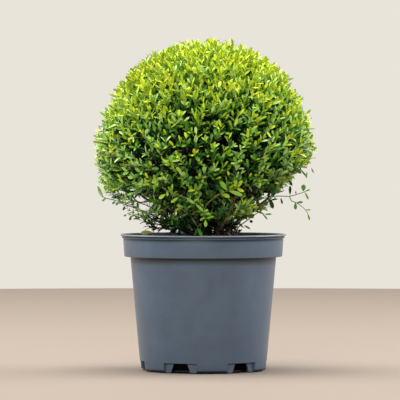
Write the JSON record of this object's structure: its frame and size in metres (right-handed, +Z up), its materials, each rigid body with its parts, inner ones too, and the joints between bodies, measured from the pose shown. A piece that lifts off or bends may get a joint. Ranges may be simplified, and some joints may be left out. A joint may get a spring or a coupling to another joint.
{
  "type": "box topiary ball in a nursery pot",
  "caption": "Clipped boxwood ball with loose lower shoots, rising on slim stems from a round tapered grey plastic nursery pot filled with growing medium.",
  "frame": {"origin": "centre of the pot's flat underside, on the pot's axis", "axes": "+Z up along the pot's axis; -Y towards the front, the side the picture shows; +X to the right seen from the front"},
  "size_m": [0.3713, 0.3683, 0.5573],
  "materials": {
    "pot_plastic": "matte",
    "compost": "rough, crumbly",
    "bark": "rough bark",
    "box_foliage": "satin leaves"
  },
  "bodies": {
    "root": {"pot": "pot_plastic", "growing_medium": "compost", "main_stem": "bark", "bough_front": "bark", "bough_front_right": "bark", "bough_back_right": "bark", "bough_back_left": "bark", "bough_left": "bark", "low_bough_front": "bark", "low_bough_front_right": "bark", "low_bough_right": "bark", "low_bough_back_right": "bark", "low_bough_back": "bark", "low_bough_back_left": "bark", "low_bough_left": "bark", "low_bough_front_left": "bark", "bough_to_stray_shoot_right": "bark", "clipped_ball": "box_foliage", "stray_shoot_right": "box_foliage", "low_spray_front": "box_foliage", "low_spray_front_right": "box_foliage", "low_spray_right": "box_foliage", "low_spray_back_right": "box_foliage", "low_spray_back": "box_foliage", "low_spray_back_left": "box_foliage", "low_spray_left": "box_foliage", "low_spray_front_left": "box_foliage"}
  },
  "joints": []
}
